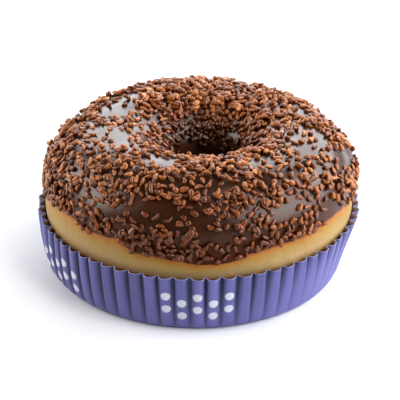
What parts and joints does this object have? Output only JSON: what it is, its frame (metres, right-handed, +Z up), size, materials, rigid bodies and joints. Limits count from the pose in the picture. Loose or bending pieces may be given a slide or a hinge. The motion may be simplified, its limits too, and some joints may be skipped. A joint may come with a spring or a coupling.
{
  "type": "chocolate doughnut",
  "caption": "Ring doughnut dipped in chocolate glaze with chocolate granules, sitting in a pleated paper baking cup.",
  "frame": {"origin": "on the resting face, under the middle of the paper cup", "axes": "+Z up through the ring, -Y towards the side that the picture shows, +X to its right"},
  "size_m": [0.0934, 0.0948, 0.0426],
  "materials": {
    "paper": "matt coated paper, pleated, white at its cut rim",
    "dough": "soft fried dough, pale at the belt",
    "glaze": "satin chocolate glaze with chocolate granules"
  },
  "bodies": {
    "root": {"paper_cup": "paper", "dough_ring": "dough", "chocolate_glaze": "glaze"}
  },
  "joints": []
}
